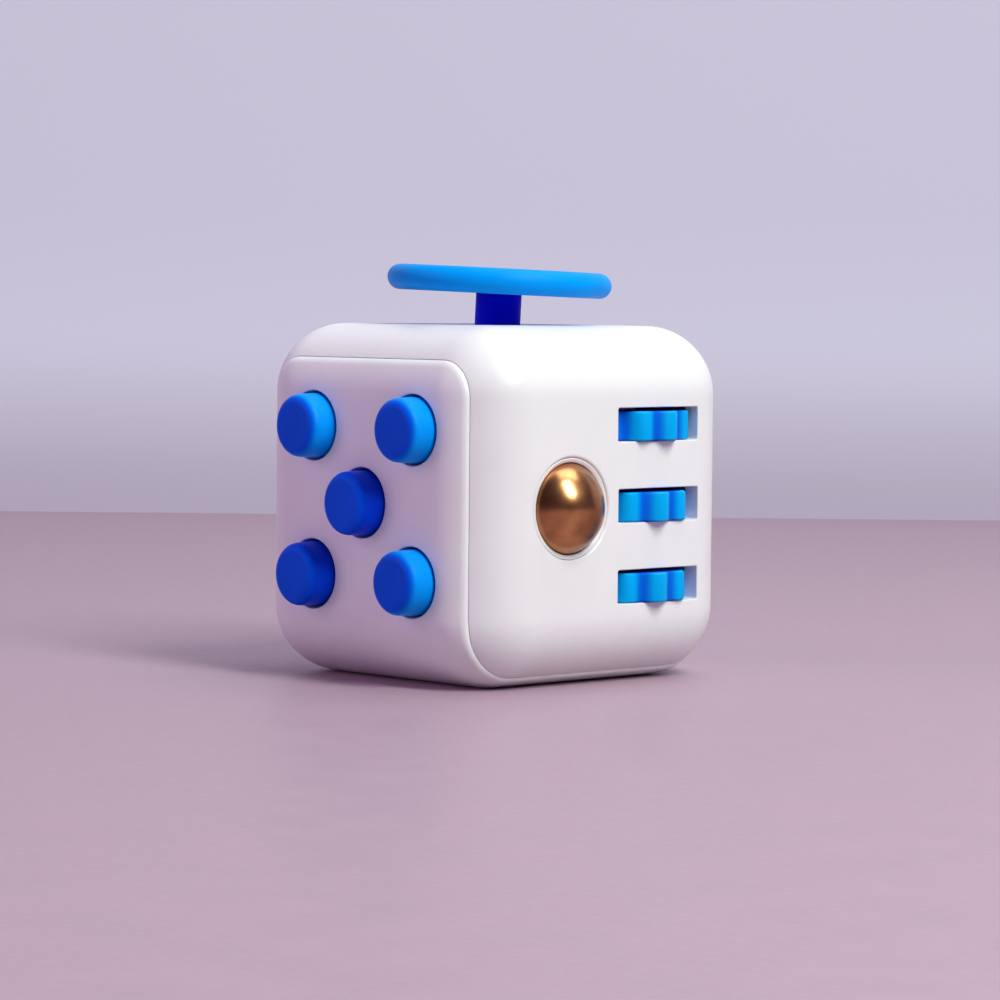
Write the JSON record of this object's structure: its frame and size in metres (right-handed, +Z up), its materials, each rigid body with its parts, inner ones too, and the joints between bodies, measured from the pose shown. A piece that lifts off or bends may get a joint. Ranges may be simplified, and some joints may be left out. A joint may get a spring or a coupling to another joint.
{
  "type": "fidget cube",
  "caption": "Palm-size rounded cube desk toy with push buttons, a clicking ball, thumb wheels, a small joystick, a rocker switch and a spinning dial.",
  "frame": {"origin": "centre of the flat bottom face that the cube rests on, at z = 0", "axes": "+Z up to the joystick face, -Y out of the push-button face, +X out of the ball and thumb-wheel face, -X out of the rocker face, +Y out of the dial face"},
  "size_m": [0.0375, 0.0382, 0.0386],
  "materials": {
    "shell_white": "satin moulded ABS",
    "button_blue": "satin, deep blue",
    "joystick_blue": "satin, bright blue",
    "wheel_blue": "satin, bright blue",
    "ball_steel": "polished, warm-tinted steel",
    "steel": "plain machined steel",
    "spring_steel": "tempered spring steel",
    "inner_plastic": "plain moulded acetal",
    "silicone": "translucent grey silicone",
    "washer_ivory": "low-friction sheet plastic"
  },
  "bodies": {
    "housing": {"base_shell": "shell_white", "side_shell": "shell_white", "click_plate": "inner_plastic", "click_snap_discs": "steel", "click_screws": "steel", "button_dome_1": "silicone", "button_dome_2": "silicone", "button_dome_3": "silicone", "button_dome_4": "silicone", "button_dome_5": "silicone", "ball_bezel": "shell_white", "ball_click_dome": "silicone", "ball_well_cap": "inner_plastic", "ball_cap_screws": "steel", "wheel_axle": "steel", "wheel_spacers": "steel", "axle_clip": "spring_steel", "gimbal_housing": "inner_plastic", "gimbal_screws": "steel", "joystick_spring": "spring_steel", "flip_pivot_pin": "steel", "flip_frame": "inner_plastic", "flip_frame_screws": "steel", "spin_washer": "washer_ivory"},
    "button_1": {"click_button_1": "button_blue"},
    "button_2": {"click_button_2": "button_blue"},
    "button_3": {"click_button_3": "button_blue"},
    "button_4": {"click_button_4": "button_blue"},
    "button_5": {"click_button_5": "button_blue"},
    "ball_carriage": {"ball_carrier": "inner_plastic"},
    "ball": {"roll_ball": "ball_steel"},
    "wheel_top": {"thumb_wheel_top": "wheel_blue"},
    "wheel_middle": {"thumb_wheel_middle": "wheel_blue"},
    "wheel_bottom": {"thumb_wheel_bottom": "wheel_blue"},
    "gimbal": {"gimbal_ring": "inner_plastic", "gimbal_pins": "steel"},
    "joystick": {"joystick_cap": "joystick_blue", "joystick_stem": "button_blue", "stem_pin": "steel"},
    "rocker": {"flip_rocker": "button_blue", "flip_detent_ball": "steel", "flip_detent_spring": "spring_steel"},
    "dial": {"spin_dial": "button_blue", "spin_retainer": "steel", "spin_screw": "steel"}
  },
  "joints": [
    {"name": "button_1_press", "type": "slide", "parent": "housing", "child": "button_1", "axis": [0, 1, 0], "range_m": [0, 0.001], "stiffness_N_per_m": 900, "springref_m": -0.0006, "deforming": ["button_dome_1"]},
    {"name": "button_2_press", "type": "slide", "parent": "housing", "child": "button_2", "axis": [0, 1, 0], "range_m": [0, 0.001], "stiffness_N_per_m": 900, "springref_m": -0.0006, "deforming": ["button_dome_2"]},
    {"name": "button_3_press", "type": "slide", "parent": "housing", "child": "button_3", "axis": [0, 1, 0], "range_m": [0, 0.001], "stiffness_N_per_m": 900, "springref_m": -0.0006, "deforming": ["button_dome_3"]},
    {"name": "button_4_press", "type": "slide", "parent": "housing", "child": "button_4", "axis": [0, 1, 0], "range_m": [0, 0.001], "stiffness_N_per_m": 900, "springref_m": -0.0006, "deforming": ["button_dome_4"]},
    {"name": "button_5_press", "type": "slide", "parent": "housing", "child": "button_5", "axis": [0, 1, 0], "range_m": [0, 0.001], "stiffness_N_per_m": 900, "springref_m": -0.0006, "deforming": ["button_dome_5"]},
    {"name": "ball_press", "type": "slide", "parent": "housing", "child": "ball_carriage", "axis": [-1, 0, 0], "range_m": [0, 0.0007], "stiffness_N_per_m": 1500, "springref_m": -0.0005, "deforming": ["ball_click_dome"]},
    {"name": "ball_roll", "type": "hinge", "parent": "ball_carriage", "child": "ball", "pos_m": [0.01437, -0.0057, 0.0165], "axis": [0, 0, 1], "continuous": true},
    {"name": "wheel_top_spin", "type": "hinge", "parent": "housing", "child": "wheel_top", "pos_m": [0.0111, 0.00547, 0.02385], "axis": [0, 0, 1], "continuous": true},
    {"name": "wheel_middle_spin", "type": "hinge", "parent": "housing", "child": "wheel_middle", "pos_m": [0.0111, 0.00547, 0.0164], "axis": [0, 0, 1], "continuous": true},
    {"name": "wheel_bottom_spin", "type": "hinge", "parent": "housing", "child": "wheel_bottom", "pos_m": [0.0111, 0.00547, 0.00895], "axis": [0, 0, 1], "continuous": true},
    {"name": "joystick_tilt_y", "type": "hinge", "parent": "housing", "child": "gimbal", "pos_m": [0, 0, 0.0286], "axis": [-1, 0, 0], "range_deg": [-10.2, 6.8], "stiffness_Nm_per_rad": 0.012, "deforming": ["joystick_spring"]},
    {"name": "joystick_tilt_x", "type": "hinge", "parent": "gimbal", "child": "joystick", "pos_m": [0, 0, 0.0286], "axis": [0, 0.9996, -0.0297], "range_deg": [-10.1, 6.9], "stiffness_Nm_per_rad": 0.012},
    {"name": "rocker_flip", "type": "hinge", "parent": "housing", "child": "rocker", "pos_m": [-0.0133, 0, 0.0165], "axis": [0, -1, 0], "range_deg": [0, 16]},
    {"name": "dial_spin", "type": "hinge", "parent": "housing", "child": "dial", "pos_m": [0, 0.01665, 0.0165], "axis": [0, 1, 0], "continuous": true}
  ]
}
